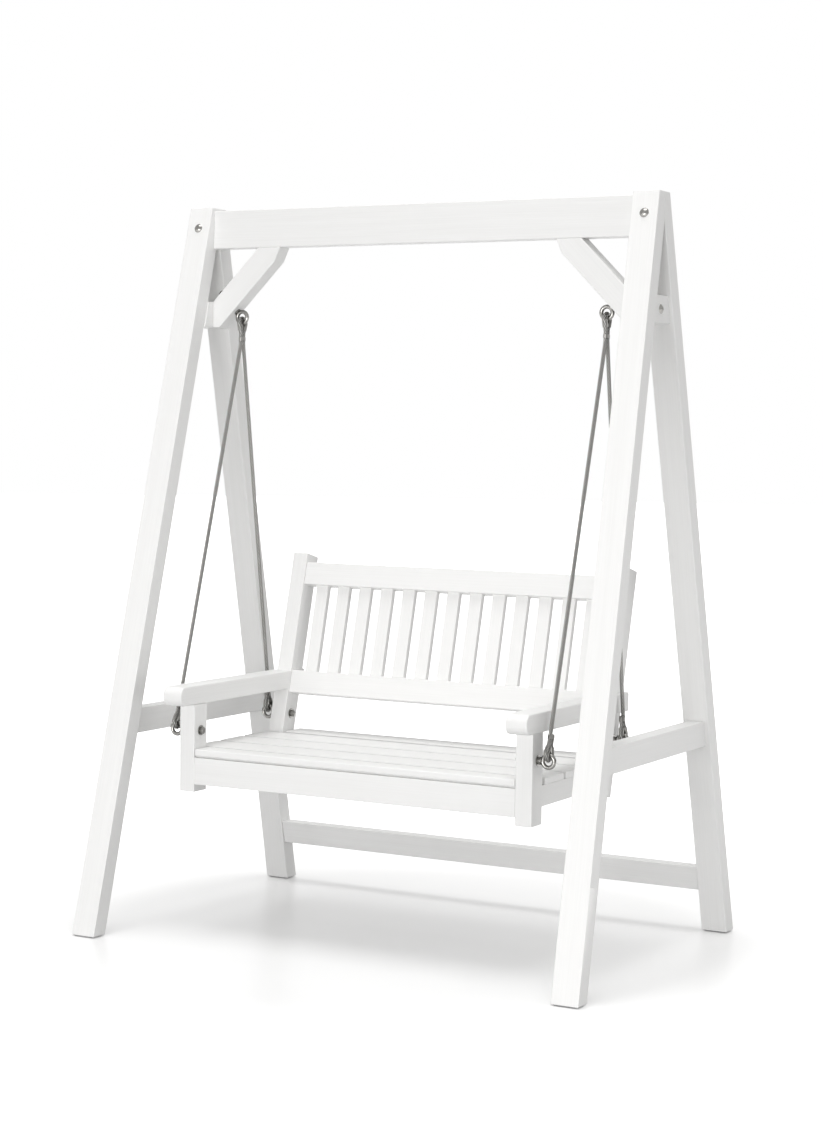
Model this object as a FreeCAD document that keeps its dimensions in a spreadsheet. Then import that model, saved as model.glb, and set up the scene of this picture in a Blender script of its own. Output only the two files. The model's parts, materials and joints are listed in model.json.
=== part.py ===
import FreeCAD, Part
import math
import os
import re
import Sketcher

os.makedirs("parts", exist_ok=True)

# A white wooden bench that swings on four wire ropes inside an A-frame stand.
# Millimetres, +Z up, +X to the right, +Y to the back. The origin lies on the floor,
# below the middle of the top beam.

SIZES = [
    ("frame_height", 1900, "floor to the tips of the legs"),
    ("stance_width", 1430, "outer sides of the feet, left to right"),
    ("top_width", 1360, "outer sides of the leg tips, left to right"),
    ("stance_depth", 992, "front foot to rear foot, outside"),
    ("apex_depth", 66, "a pair of leg tips, front to back"),
    ("leg_width", 70, "a leg seen from the front"),
    ("leg_depth", 50, "a leg front to back, measured level"),
    ("beam_height", 100, "top beam"),
    ("beam_thickness", 48, "top beam"),
    ("beam_drop", 9, "leg tips above the beam"),
    ("beam_tenon", 20, "thickness of the beam's tenons"),
    ("beam_tenon_height", 80, "from the beam's underside"),
    ("beam_tenon_reach", 48, "into the pair of legs"),
    ("brace_width", 63, "corner brace across its slope"),
    ("brace_thickness", 48, "corner brace front to back"),
    ("brace_reach", 142, "run of the brace's upper edge at 45 degrees"),
    ("heel_height", 68, "upright end face of a brace"),
    ("nose_setback", 21, "cut at the brace's tip, along the beam"),
    ("nose_height", 37, "cut at the brace's tip, upright"),
    ("block_recess", 9, "brace block inside the legs' outer faces"),
    ("side_rail_level", 510, "underside of a side rail above the floor"),
    ("side_rail_height", 65, "side rail"),
    ("side_rail_thickness", 45, "side rail"),
    ("stretcher_level", 113, "underside of the rear stretcher"),
    ("stretcher_height", 64, "rear stretcher"),
    ("stretcher_thickness", 42, "rear stretcher"),
    ("stretcher_setback", 4, "behind the rear legs' front faces"),
    ("stand_tenon", 20, "thickness of the rails' tenons in the legs"),
    ("stand_tenon_reach", 28, "depth of those tenons"),
    ("tenon_shoulder", 10, "step above and below a tenon"),
    ("fit_gap", 0.15, "play of a wooden joint on each side"),
    ("bolt_diameter", 10, "frame bolts"),
    ("bolt_head", 24, "domed head across"),
    ("bolt_dome", 6, "height of a domed head"),
    ("bolt_play", 0.3, "hole around a bolt, on each side"),
    ("apex_bolt_drop", 55, "apex bolts below the leg tips"),
    ("apex_grip", 80, "wood between the apex bolt's head and its washer"),
    ("brace_bolt_length", 104, "shank of the bolt through a brace block"),
    ("washer_diameter", 26, "flat washers"),
    ("washer_thickness", 2, "flat washers"),
    ("nut_width", 17, "hexagon nuts across flats"),
    ("nut_height", 8, "hexagon nuts"),
    ("nut_pocket", 27, "counterbore for the rear nut of an apex bolt"),
    ("thread_end", 3, "bolt end beyond a hexagon nut"),
    ("hang_width", 1066, "rope plane to rope plane"),
    ("eye_diameter", 30, "eye ring, middle of the wire"),
    ("eye_wire", 10.5, "eye ring"),
    ("eye_shank", 10, "eye bolt"),
    ("eye_collar", 19, "collar under an eye ring"),
    ("top_eye_stand", 22, "centre of a top eye from the brace"),
    ("bench_eye_rise", 46, "bench eyes above the seat"),
    ("cap_diameter", 18, "cap nut"),
    ("cap_height", 11, "cap nut"),
    ("cap_bore", 7, "depth of the bore in a cap nut"),
    ("rope_diameter", 10.5, "wire rope"),
    ("thimble_bore", 14.5, "round end of a rope thimble, inside"),
    ("thimble_wall", 1.8, "sheet of a rope thimble"),
    ("thimble_length", 28, "centre of the round end to the tip"),
    ("thimble_opening", 8.5, "flanks of a thimble short of its tip"),
    ("rope_play", 0.25, "rope in the groove of a thimble"),
    ("link_play", 0.4, "thimble on the wire of an eye"),
    ("rope_bend", 45, "bend of the rope at a thimble's tip and below a sleeve"),
    ("strand_gap", 1, "between two strands in a sleeve"),
    ("sleeve_start", 8, "pressed sleeve beyond a thimble's tip"),
    ("sleeve_length", 10, "pressed sleeve"),
    ("sleeve_wall", 0.8, "pressed sleeve"),
    ("bench_forward", 319, "front posts before the swing axis"),
    ("seat_width", 920, "between the posts"),
    ("seat_depth", 430, "front of the front posts to the back posts at seat height"),
    ("seat_height", 484, "top of the seat above the floor"),
    ("post_width", 45, "bench posts seen from the front"),
    ("post_depth", 58, "front posts"),
    ("post_drop", 112, "front posts below the seat"),
    ("recline", 14, "lean of the back, in degrees"),
    ("back_post_depth", 60, "back posts, square to their lean"),
    ("back_post_drop", 90, "back posts below the seat, along the lean"),
    ("back_post_rise", 500, "back posts above the seat, along the lean"),
    ("arm_rise", 114, "underside of the armrests above the seat"),
    ("arm_thickness", 50, "armrests"),
    ("arm_width", 57, "armrests"),
    ("arm_overhang", 61, "armrests before the front posts"),
    ("arm_tail", 12, "armrests behind the back posts"),
    ("arm_round", 20, "rounding of the armrests' front ends"),
    ("slat_thickness", 18, "seat and back slats"),
    ("slat_gap", 15, "between seat slats"),
    ("slat_play", 1.5, "ends of a slat between two posts"),
    ("slat_overhang", 2, "ends of the long slats outside the posts"),
    ("rear_slat_width", 80, "seat slat between the back posts"),
    ("front_rail_height", 74, "front rail of the seat"),
    ("front_rail_thickness", 40, "front rail of the seat"),
    ("shadow_height", 4, "groove along the front rail's top"),
    ("shadow_depth", 12, "groove along the front rail's top"),
    ("seat_rail_height", 52, "side rails of the seat"),
    ("seat_rail_thickness", 40, "side rails of the seat"),
    ("seat_rail_setback", 2, "seat side rails inside the posts' outer faces"),
    ("rear_rail_height", 62, "rear rail of the seat"),
    ("bearer_width", 32, "middle bearer of the seat"),
    ("bearer_height", 45, "middle bearer of the seat"),
    ("bench_tenon", 18, "thickness of the tenons in the bench"),
    ("bench_tenon_reach", 24, "depth of the tenons in the bench"),
    ("side_tenon_reach", 14, "depth of the seat side rails' tenons"),
    ("back_rail_height", 62, "upper and lower rails of the back"),
    ("back_rail_thickness", 45, "upper and lower rails of the back"),
    ("back_rail_setback", 4, "behind the back posts' front faces"),
    ("lower_rail_rise", 110, "lower back rail above the seat, along the lean"),
    ("back_post_tip", 25, "back posts above the upper rail"),
    ("back_slat_width", 37, "back slats"),
    ("back_slat_pitch", 68, "middle to middle of the back slats"),
    ("back_slat_housing", 10, "ends of the back slats inside the rails"),
]
BACK_SLATS = 13
LONG_SLATS = 3
OVERCUT = 1
SEED = 100


def inner(level):
    """Inner face of the right legs at a height."""
    return f"(stance_width / 2 - leg_width - splay * ({level}))"


def outer(level):
    """Outer face of the right legs at a height."""
    return f"(stance_width / 2 - splay * ({level}))"


def half_gap(level):
    """Middle plane to the rear leg's front face at a height."""
    return f"(stance_depth / 2 - leg_depth - lean * ({level}))"


PLACES = [
    ("splay", "(stance_width - top_width) / 2 / frame_height"),
    ("lean", "(stance_depth - apex_depth) / 2 / frame_height"),
    ("beam_top", "frame_height - beam_drop"),
    ("beam_foot", "beam_top - beam_height"),
    ("heel_x", inner("beam_foot")),
    ("heel_top", "beam_foot - brace_reach"),
    ("heel_foot", "heel_top - heel_height"),
    ("brace_upper", "heel_x + heel_top"),
    ("brace_lower", "brace_upper - brace_width * sqrt(2)"),
    ("block_face", f"{outer('heel_top')} - block_recess"),
    ("brace_bolt_z", "heel_top - heel_height / 2"),
    ("apex_bolt_z", "frame_height - apex_bolt_drop"),
    ("side_rail_x", "(stance_width - leg_width) / 2 - splay * (side_rail_level + side_rail_height / 2)"),
    ("side_rail_top", "side_rail_level + side_rail_height"),
    ("stretcher_top", "stretcher_level + stretcher_height"),
    ("stretcher_mid", "stretcher_level + stretcher_height / 2"),
    ("hang_x", "hang_width / 2"),
    ("top_eye_z", "brace_lower - top_eye_stand * sqrt(2) - hang_x"),
    ("swing_z", "top_eye_z - eye_diameter / 2"),
    ("inner_x", "seat_width / 2"),
    ("outer_x", "inner_x + post_width"),
    ("post_mid_x", "inner_x + post_width / 2"),
    ("post_front", "-bench_forward"),
    ("post_rear", "post_front + post_depth"),
    ("back_foot", "post_front + seat_depth"),
    ("back_slope", "tan(recline)"),
    ("slat_foot", "seat_height - slat_thickness"),
    ("slat_stop", "back_foot - slat_thickness * back_slope"),
    ("long_slat_width", f"(slat_stop - post_rear - slat_gap * {LONG_SLATS + 1}) / {LONG_SLATS}"),
    ("arm_foot", "seat_height + arm_rise"),
    ("arm_top", "arm_foot + arm_thickness"),
    ("arm_end",
     "back_foot + (arm_rise + arm_thickness) * back_slope + back_post_depth / cos(recline) + arm_tail"),
    ("bench_eye_z", "seat_height + bench_eye_rise"),
    ("bench_eye_stand", "hang_x - outer_x"),
    ("front_eye_y", "post_front + post_depth / 2"),
    ("rear_eye_y", "back_foot + bench_eye_rise * back_slope + back_post_depth / cos(recline) / 2"),
    ("upper_rail_foot", "back_post_rise - back_post_tip - back_rail_height"),
    ("lower_rail_top", "lower_rail_rise + back_rail_height"),
    ("back_slat_front", "back_rail_setback + (back_rail_thickness - slat_thickness) / 2"),
]

doc = FreeCAD.newDocument("swing_bench")
sizes = doc.addObject("Spreadsheet::Sheet", "Sizes")
places = doc.addObject("Spreadsheet::Sheet", "Places")
HOME = {}


def link(formula):
    """Name the sheet that holds each value of a formula."""
    return re.sub(r"[a-z][a-z_]*", lambda found: HOME.get(found.group(0), found.group(0)), formula)


for row, (alias, number, meaning) in enumerate(SIZES, start=1):
    sizes.set(f"A{row}", meaning)
    sizes.set(f"B{row}", str(number))
    sizes.setAlias(f"B{row}", alias)
    HOME[alias] = f"Sizes.{alias}"
doc.recompute()
for row, (alias, formula) in enumerate(PLACES, start=1):
    places.set(f"A{row}", "=" + link(formula))
    places.setAlias(f"A{row}", alias)
    HOME[alias] = f"Places.{alias}"
    doc.recompute()

NODES = []


def value(alias):
    """A size or place as a plain number."""
    sheet = sizes if HOME[alias].startswith("Sizes") else places
    return float(sheet.get(alias))


def bind(item, prop, formula):
    item.setExpression(prop, link(str(formula)))


def node(item):
    """Keep an object as a sub-part."""
    NODES.append(item)
    return item


def place(item, at, axis=(0, 0, 1), angle="0", start="0", leaning=False):
    """Bind an object's place; a leaning one stands in the frame of the bench's back."""
    turn = f"rotation(vector({axis[0]}; {axis[1]}; {axis[2]}); {angle})"
    spot = f"placement(vector({at[0]}; {at[1]}; {at[2]}); {turn})"
    if start != "0":
        spot = f"{spot} * placement(vector(0; 0; {start}); rotation(vector(0; 0; 1); 0))"
    if leaning:
        spot = f"placement(vector(0; back_foot; seat_height); rotation(vector(1; 0; 0); -recline)) * {spot}"
    bind(item, "Placement", spot)


def across(side, low, high):
    """A span in X on the right side, or its mirror image on the left."""
    return (low, high) if side > 0 else (f"-({high})", f"-({low})")


def board(name, x, y, z, leaning=False):
    """A square-edged board between pairs of limits."""
    item = doc.addObject("Part::Box", name)
    for prop, (low, high) in zip(("Length", "Width", "Height"), (x, y, z)):
        bind(item, prop, f"({high}) - ({low})")
    place(item, (x[0], y[0], z[0]), leaning=leaning)
    return item


def grown(span, gap="fit_gap"):
    """A span widened by a clearance at both ends."""
    return (f"({span[0]}) - {gap}", f"({span[1]}) + {gap}")


def rod(name, radius, low, high):
    """A cylinder along Z between two heights."""
    item = doc.addObject("Part::Cylinder", name)
    bind(item, "Radius", radius)
    bind(item, "Height", f"({high}) - ({low})")
    bind(item, "Placement.Base.z", low)
    return item


def union(name, items):
    item = doc.addObject("Part::MultiFuse", name)
    item.Shapes = items
    return item


def cut(name, base, tools):
    item = doc.addObject("Part::Cut", name)
    item.Base = base
    item.Tool = tools[0] if len(tools) == 1 else union(name + "_cuts", tools)
    return item


def group(name, items):
    item = doc.addObject("Part::Compound", name)
    item.Links = items
    return item


def prism(name, plane, corners, low, high):
    """A body padded from an outline: XZ outlines run along Y, YZ outlines along X."""
    body = doc.addObject("PartDesign::Body", name)
    sketch = body.newObject("Sketcher::SketchObject", name + "_outline")
    support = [item for item in body.Origin.OriginFeatures if item.Role == plane + "_Plane"]
    sketch.AttachmentSupport = [(support[0], "")]
    sketch.MapMode = "FlatFace"
    count = len(corners)
    ring = [2 * math.pi * index / count for index in range(count)]
    seeds = [FreeCAD.Vector(SEED * math.cos(turn), SEED * math.sin(turn), 0) for turn in ring]
    for index in range(count):
        sketch.addGeometry(Part.LineSegment(seeds[index], seeds[(index + 1) % count]))
    for index in range(count):
        sketch.addConstraint(Sketcher.Constraint("Coincident", index, 2, (index + 1) % count, 1))
    for index, corner in enumerate(corners):
        for kind, start, formula in zip(("DistanceX", "DistanceY"), seeds[index], corner):
            number = sketch.addConstraint(Sketcher.Constraint(kind, -1, 1, index, 1, start))
            bind(sketch, f"Constraints[{number}]", formula)
    bind(sketch, "AttachmentOffset.Base.z", low if plane == "YZ" else f"-({high})")
    pad = body.newObject("PartDesign::Pad", name + "_pad")
    pad.Profile = sketch
    bind(pad, "Length", f"({high}) - ({low})")
    sketch.Visibility = False
    body.Tip = pad
    return body


def domed_bolt(name, length):
    """A bolt along +Z with its domed head below the origin."""
    dome = doc.addObject("Part::Sphere", name + "_dome")
    ball = "((bolt_head ^ 2 / 4 + bolt_dome ^ 2) / (2 * bolt_dome))"
    bind(dome, "Radius", ball)
    bind(dome, "Angle1", f"asin(({ball} - bolt_dome) / {ball})")
    place(dome, ("0", "0", f"{ball} - bolt_dome"), (1, 0, 0), "180")
    shank = rod(name + "_shank", "bolt_diameter / 2", "0", length)
    return union(name, [dome, shank])


def washer(name, bore, low):
    disc = rod(name + "_disc", "washer_diameter / 2", low, f"({low}) + washer_thickness")
    hole = rod(name + "_hole", f"{bore} / 2 + bolt_play", low, f"({low}) + washer_thickness")
    return cut(name, disc, [hole])


def hex_nut(name, bore, low):
    blank = doc.addObject("Part::Prism", name + "_blank")
    blank.Polygon = 6
    bind(blank, "Circumradius", "nut_width / sqrt(3)")
    bind(blank, "Height", "nut_height")
    bind(blank, "Placement.Base.z", low)
    hole = rod(name + "_hole", f"{bore} / 2 + bolt_play", low, f"({low}) + nut_height")
    return cut(name, blank, [hole])


def eye_bolt(name, stand, end):
    """An eye ring in the XZ plane around the origin, with its shank along +Z."""
    ring = doc.addObject("Part::Torus", name + "_ring")
    bind(ring, "Radius1", "eye_diameter / 2")
    bind(ring, "Radius2", "eye_wire / 2")
    place(ring, ("0", "0", "0"), (1, 0, 0), "90")
    collar = rod(name + "_collar", "eye_collar / 2", "eye_diameter / 2 + eye_wire / 4", stand)
    shank = rod(name + "_shank", "eye_shank / 2", "eye_diameter / 2", end)
    return union(name, [ring, collar, shank])


SIDES = (("left", -1), ("right", 1))
ENDS = (("front", -1), ("rear", 1))
LEAN_ANGLE = "atan(lean)"

# Apex bolts: square to the front leg's face, through the beam's tenon, with a nut sunk in the rear leg.
apex_bolts = []
frame_washers = []
frame_nuts = []
apex_holes = {}
for word, side in SIDES:
    seat_x = f"{side} * ((stance_width - leg_width) / 2 - splay * apex_bolt_z)"
    seat = (seat_x, "-stance_depth / 2 + lean * apex_bolt_z", "apex_bolt_z")
    pose = (seat, (1, 0, 0), f"-(90 deg + {LEAN_ANGLE})")
    nut_level = "apex_grip + washer_thickness"
    bolt = domed_bolt(f"apex_bolt_{word}", f"{nut_level} + nut_height + thread_end")
    ring = washer(f"apex_washer_{word}", "bolt_diameter", "apex_grip")
    nut = hex_nut(f"apex_nut_{word}", "bolt_diameter", nut_level)
    bore = rod(f"apex_bore_{word}", "bolt_diameter / 2 + bolt_play", "-bolt_dome", f"apex_grip + {OVERCUT}")
    pocket = rod(f"apex_pocket_{word}", "nut_pocket / 2", "apex_grip", "2 * apex_grip")
    hole = union(f"apex_hole_{word}", [bore, pocket])
    for item in (bolt, ring, nut, hole):
        place(item, *pose)
    apex_bolts.append(bolt)
    frame_washers.append(ring)
    frame_nuts.append(nut)
    apex_holes[word] = hole
node(group("apex_bolts", apex_bolts))

# The top beam and its tenons, held between the pairs of legs.
beam_z = ("beam_foot", "beam_top")
beam_ends = [(inner(level), level) for level in beam_z]
beam_outline = [(f"-{beam_ends[0][0]}", "beam_foot"), beam_ends[0], beam_ends[1]]
beam_outline.append((f"-{beam_ends[1][0]}", "beam_top"))
beam_core = prism("top_beam_core", "XZ", beam_outline, "-beam_thickness / 2", "beam_thickness / 2")
tenon_x = (f"-({inner('beam_foot')} + beam_tenon_reach)", f"{inner('beam_foot')} + beam_tenon_reach")
tenon_y = ("-beam_tenon / 2", "beam_tenon / 2")
tenon_z = ("beam_foot", "beam_foot + beam_tenon_height")
beam_tenons = board("top_beam_tenons", tenon_x, tenon_y, tenon_z)
beam_mortise = board("top_beam_mortise", grown(tenon_x), grown(tenon_y), grown(tenon_z))
beam_blank = union("top_beam_blank", [beam_core, beam_tenons])
node(cut("top_beam", beam_blank, [apex_holes["left"], apex_holes["right"]]))

# Side rails, tenoned into the front and the rear leg of each pair.
rail_mortises = {}
for word, side in SIDES:
    rail_ends = [(half_gap(level), level) for level in ("side_rail_level", "side_rail_top")]
    outline = [(f"-{rail_ends[0][0]}", "side_rail_level"), rail_ends[0], rail_ends[1]]
    outline.append((f"-{rail_ends[1][0]}", "side_rail_top"))
    rail_x = across(side, "side_rail_x - side_rail_thickness / 2", "side_rail_x + side_rail_thickness / 2")
    core = prism(f"side_rail_{word}_core", "YZ", outline, *rail_x)
    reach = f"{half_gap('side_rail_top')} + stand_tenon_reach"
    peg_x = across(side, "side_rail_x - stand_tenon / 2", "side_rail_x + stand_tenon / 2")
    peg_y = (f"-({reach})", reach)
    peg_z = ("side_rail_level + tenon_shoulder", "side_rail_top - tenon_shoulder")
    tenons = board(f"side_rail_{word}_tenons", peg_x, peg_y, peg_z)
    rail_mortises[word] = board(f"side_rail_{word}_mortise", grown(peg_x), grown(peg_y), grown(peg_z))
    node(union(f"side_rail_{word}", [core, tenons]))

# Rear stretcher, leaning with the rear legs.
stretcher_faces = []
for level in ("stretcher_level", "stretcher_top"):
    stretcher_faces.append(f"{half_gap(level)} + stretcher_setback")
stretcher_outline = [
    (stretcher_faces[0], "stretcher_level"),
    (f"{stretcher_faces[0]} + stretcher_thickness", "stretcher_level"),
    (f"{stretcher_faces[1]} + stretcher_thickness", "stretcher_top"),
    (stretcher_faces[1], "stretcher_top"),
]
stretcher_end = inner("stretcher_top")
stretcher_core = prism("rear_stretcher_core", "YZ", stretcher_outline, f"-{stretcher_end}", stretcher_end)
stretcher_y = f"{half_gap('stretcher_mid')} + stretcher_setback + stretcher_thickness / 2"
peg_x = (f"-({stretcher_end} + stand_tenon_reach)", f"{stretcher_end} + stand_tenon_reach")
peg_y = (f"{stretcher_y} - stand_tenon / 2", f"{stretcher_y} + stand_tenon / 2")
peg_z = ("stretcher_level + tenon_shoulder", "stretcher_top - tenon_shoulder")
stretcher_tenons = board("rear_stretcher_tenons", peg_x, peg_y, peg_z)
stretcher_mortise = board("rear_stretcher_mortise", grown(peg_x), grown(peg_y), grown(peg_z))
node(union("rear_stretcher", [stretcher_core, stretcher_tenons]))

# Legs: level feet, splayed to the sides and leaning to a mitred apex on the middle plane.
beyond = "stance_depth / 2"
mitre_x = ("-stance_width / 2", "stance_width / 2")
mitre_z = ("frame_height / 2", "frame_height + beam_drop")
mitres = {
    "front": board("front_leg_mitre", mitre_x, ("0", beyond), mitre_z),
    "rear": board("rear_leg_mitre", mitre_x, (f"-{beyond}", "0"), mitre_z),
}
for word, side in SIDES:
    for end, facing in ENDS:
        name = f"{end}_leg_{word}"
        foot = doc.addObject("Part::Plane", name + "_foot")
        bind(foot, "Length", "leg_width")
        bind(foot, "Width", "leg_depth")
        foot_x = across(side, "stance_width / 2 - leg_width", "stance_width / 2")[0]
        foot_y = "-stance_depth / 2" if facing < 0 else "stance_depth / 2 - leg_depth"
        place(foot, (foot_x, foot_y, "0"))
        shaft = doc.addObject("Part::Extrusion", name + "_shaft")
        shaft.Base = foot
        shaft.DirMode = "Custom"
        shaft.Solid = True
        bind(shaft, "Dir.x", f"{-side} * splay * frame_height")
        bind(shaft, "Dir.y", f"{-facing} * lean * frame_height")
        bind(shaft, "Dir.z", "frame_height")
        openings = [mitres[end], beam_mortise, apex_holes[word], rail_mortises[word]]
        if facing > 0:
            openings.append(stretcher_mortise)
        node(cut(name, shaft, openings))

# Corner braces on blocks between the legs, each with an eye bolt for the ropes.
brace_bolts = []
for word, side in SIDES:
    corners = [
        ("brace_lower - beam_foot + nose_setback", "beam_foot"),
        ("brace_upper - beam_foot", "beam_foot"),
        ("heel_x", "heel_top"),
        ("heel_x", "heel_foot"),
        ("brace_lower - heel_foot", "heel_foot"),
        ("brace_lower - beam_foot + nose_height", "beam_foot - nose_height"),
    ]
    outline = [(f"{side} * ({x})", z) for x, z in corners]
    brace_core = prism(f"brace_{word}_core", "XZ", outline, "-brace_thickness / 2", "brace_thickness / 2")
    block_ends = [half_gap("heel_foot"), half_gap("heel_top")]
    block_outline = [(f"-{block_ends[0]}", "heel_foot"), (block_ends[0], "heel_foot")]
    block_outline += [(block_ends[1], "heel_top"), (f"-{block_ends[1]}", "heel_top")]
    block_x = across(side, "heel_x", "block_face")
    block_core = prism(f"brace_block_{word}_core", "YZ", block_outline, *block_x)

    bolt = domed_bolt(f"brace_bolt_{word}", "brace_bolt_length")
    bolt_reach = f"brace_bolt_length + {OVERCUT}"
    bolt_hole = rod(f"brace_bolt_{word}_hole", "bolt_diameter / 2 + bolt_play", "0", bolt_reach)
    for item in (bolt, bolt_hole):
        place(item, (f"{side} * block_face", "0", "brace_bolt_z"), (0, 1, 0), f"{-90 * side}")
    brace_bolts.append(bolt)

    brace_back = "top_eye_stand + brace_width"
    nut_level = f"{brace_back} + washer_thickness"
    eye = eye_bolt(f"top_eye_{word}", "top_eye_stand", f"{nut_level} + nut_height + thread_end")
    ring = washer(f"top_washer_{word}", "eye_shank", brace_back)
    nut = hex_nut(f"top_nut_{word}", "eye_shank", nut_level)
    eye_hole = rod(f"top_eye_{word}_hole", "eye_shank / 2 + bolt_play", "0", "brace_width")
    pose = ((f"{side} * hang_x", "0", "top_eye_z"), (0, 1, 0), f"{45 * side}")
    place(eye_hole, *pose, start="top_eye_stand")
    for item in (eye, ring, nut):
        place(item, *pose)
    frame_washers.append(ring)
    frame_nuts.append(nut)

    node(cut(f"brace_{word}", brace_core, [bolt_hole, eye_hole]))
    node(cut(f"brace_block_{word}", block_core, [bolt_hole]))
    node(eye)
node(group("brace_bolts", brace_bolts))
node(group("frame_washers", frame_washers))
node(group("frame_nuts", frame_nuts))

# Bench eyes through the posts, with washers on both sides and cap nuts inside.
bench_holes = {}
bench_washers = []
cap_nuts = []
for word, side in SIDES:
    for end, spot in (("front", "front_eye_y"), ("rear", "rear_eye_y")):
        tag = f"{end}_{word}"
        post_inside = "bench_eye_stand + post_width"
        cap_level = f"{post_inside} + washer_thickness"
        cap_bottom = f"{cap_level} + cap_bore"
        eye = eye_bolt(f"bench_eye_{tag}", "bench_eye_stand - washer_thickness", f"{cap_bottom} - {OVERCUT}")
        outside = washer(f"bench_washer_{tag}_outside", "eye_shank", "bench_eye_stand - washer_thickness")
        inside = washer(f"bench_washer_{tag}_inside", "eye_shank", post_inside)
        wall = rod(f"cap_nut_{tag}_wall", "cap_diameter / 2", cap_level, f"{cap_level} + cap_bore")
        dome = doc.addObject("Part::Sphere", f"cap_nut_{tag}_dome")
        cap_rise = "(cap_height - cap_bore)"
        ball = f"((cap_diameter ^ 2 / 4 + {cap_rise} ^ 2) / (2 * {cap_rise}))"
        bind(dome, "Radius", ball)
        bind(dome, "Angle1", f"asin(({ball} - {cap_rise}) / {ball})")
        place(dome, ("0", "0", f"{cap_level} + cap_height - {ball}"))
        cap_body = union(f"cap_nut_{tag}_body", [wall, dome])
        cap_hole = rod(f"cap_nut_{tag}_hole", "eye_shank / 2 + bolt_play", cap_level, cap_bottom)
        cap = cut(f"cap_nut_{tag}", cap_body, [cap_hole])
        hole = rod(f"bench_eye_{tag}_hole", "eye_shank / 2 + bolt_play", "0", "post_width")
        pose = ((f"{side} * hang_x", spot, "bench_eye_z"), (0, 1, 0), f"{-90 * side}")
        place(hole, *pose, start="bench_eye_stand")
        for item in (eye, outside, inside, cap):
            place(item, *pose)
        node(eye)
        bench_holes[tag] = hole
        bench_washers += [outside, inside]
        cap_nuts.append(cap)
node(group("bench_washers", bench_washers))
node(group("cap_nuts", cap_nuts))

# Front rail of the seat, with a shadow groove below the front slat.
front_z = ("slat_foot - front_rail_height", "slat_foot")
rail_back = "post_front + front_rail_thickness"
front_outline = [
    ("post_front", front_z[0]),
    (rail_back, front_z[0]),
    (rail_back, "slat_foot"),
    ("post_front + shadow_depth", "slat_foot"),
    ("post_front + shadow_depth", "slat_foot - shadow_height"),
    ("post_front", "slat_foot - shadow_height"),
]
front_core = prism("front_rail_core", "YZ", front_outline, "-inner_x", "inner_x")
cross_x = ("-(inner_x + bench_tenon_reach)", "inner_x + bench_tenon_reach")
peg_y = ("post_front + tenon_shoulder", "post_front + tenon_shoulder + bench_tenon")
peg_z = (f"{front_z[0]} + tenon_shoulder", "slat_foot - tenon_shoulder")
front_tenons = board("front_rail_tenons", cross_x, peg_y, peg_z)
front_mortise = board("front_rail_mortise", grown(cross_x), grown(peg_y), grown(peg_z))
node(union("front_rail", [front_core, front_tenons]))

# Rear rail of the seat, upright between the leaning back posts.
rear_x = ("-inner_x", "inner_x")
rear_y = ("back_foot", "back_foot + seat_rail_thickness")
rear_z = ("slat_foot - rear_rail_height", "slat_foot")
rear_core = board("rear_rail_core", rear_x, rear_y, rear_z)
peg_y = ("back_foot + tenon_shoulder", "back_foot + tenon_shoulder + bench_tenon")
peg_z = (f"{rear_z[0]} + tenon_shoulder", "slat_foot - tenon_shoulder")
rear_tenons = board("rear_rail_tenons", cross_x, peg_y, peg_z)
rear_mortise = board("rear_rail_mortise", grown(cross_x), grown(peg_y), grown(peg_z))
node(union("rear_rail", [rear_core, rear_tenons]))

# Middle bearer under the slats.
bearer_x = ("-bearer_width / 2", "bearer_width / 2")
node(board("seat_bearer", bearer_x, (rail_back, "back_foot"), ("slat_foot - bearer_height", "slat_foot")))

# Back rails, housed for the back slats.
rail_span = ("-inner_x", "inner_x")
rail_y = ("back_rail_setback", "back_rail_setback + back_rail_thickness")
peg_mid = "back_rail_setback + back_rail_thickness / 2"
peg_y = (f"{peg_mid} - bench_tenon / 2", f"{peg_mid} + bench_tenon / 2")
slat_y = ("back_slat_front", "back_slat_front + slat_thickness")
slat_z = ("lower_rail_top - back_slat_housing", "upper_rail_foot + back_slat_housing")
housings = []
for index in range(BACK_SLATS):
    middle = f"({index} - ({BACK_SLATS} - 1) / 2) * back_slat_pitch"
    slat_x = (f"{middle} - back_slat_width / 2", f"{middle} + back_slat_width / 2")
    node(board(f"back_slat_{index + 1}", slat_x, slat_y, slat_z, leaning=True))
    room = (grown(slat_x), grown(slat_y), grown(slat_z))
    housing = board(f"back_slat_housing_{index + 1}", *room, leaning=True)
    housings.append(housing)
slat_housings = union("back_slat_housings", housings)
back_mortises = []
for name, foot in (("back_lower_rail", "lower_rail_rise"), ("back_top_rail", "upper_rail_foot")):
    peg_z = (f"{foot} + tenon_shoulder", f"{foot} + back_rail_height - tenon_shoulder")
    core = board(name + "_core", rail_span, rail_y, (foot, f"{foot} + back_rail_height"), leaning=True)
    tenons = board(name + "_tenons", cross_x, peg_y, peg_z, leaning=True)
    back_mortises.append(board(name + "_mortise", grown(cross_x), grown(peg_y), grown(peg_z), leaning=True))
    blank = union(name + "_blank", [core, tenons])
    node(cut(name, blank, [slat_housings]))

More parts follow.
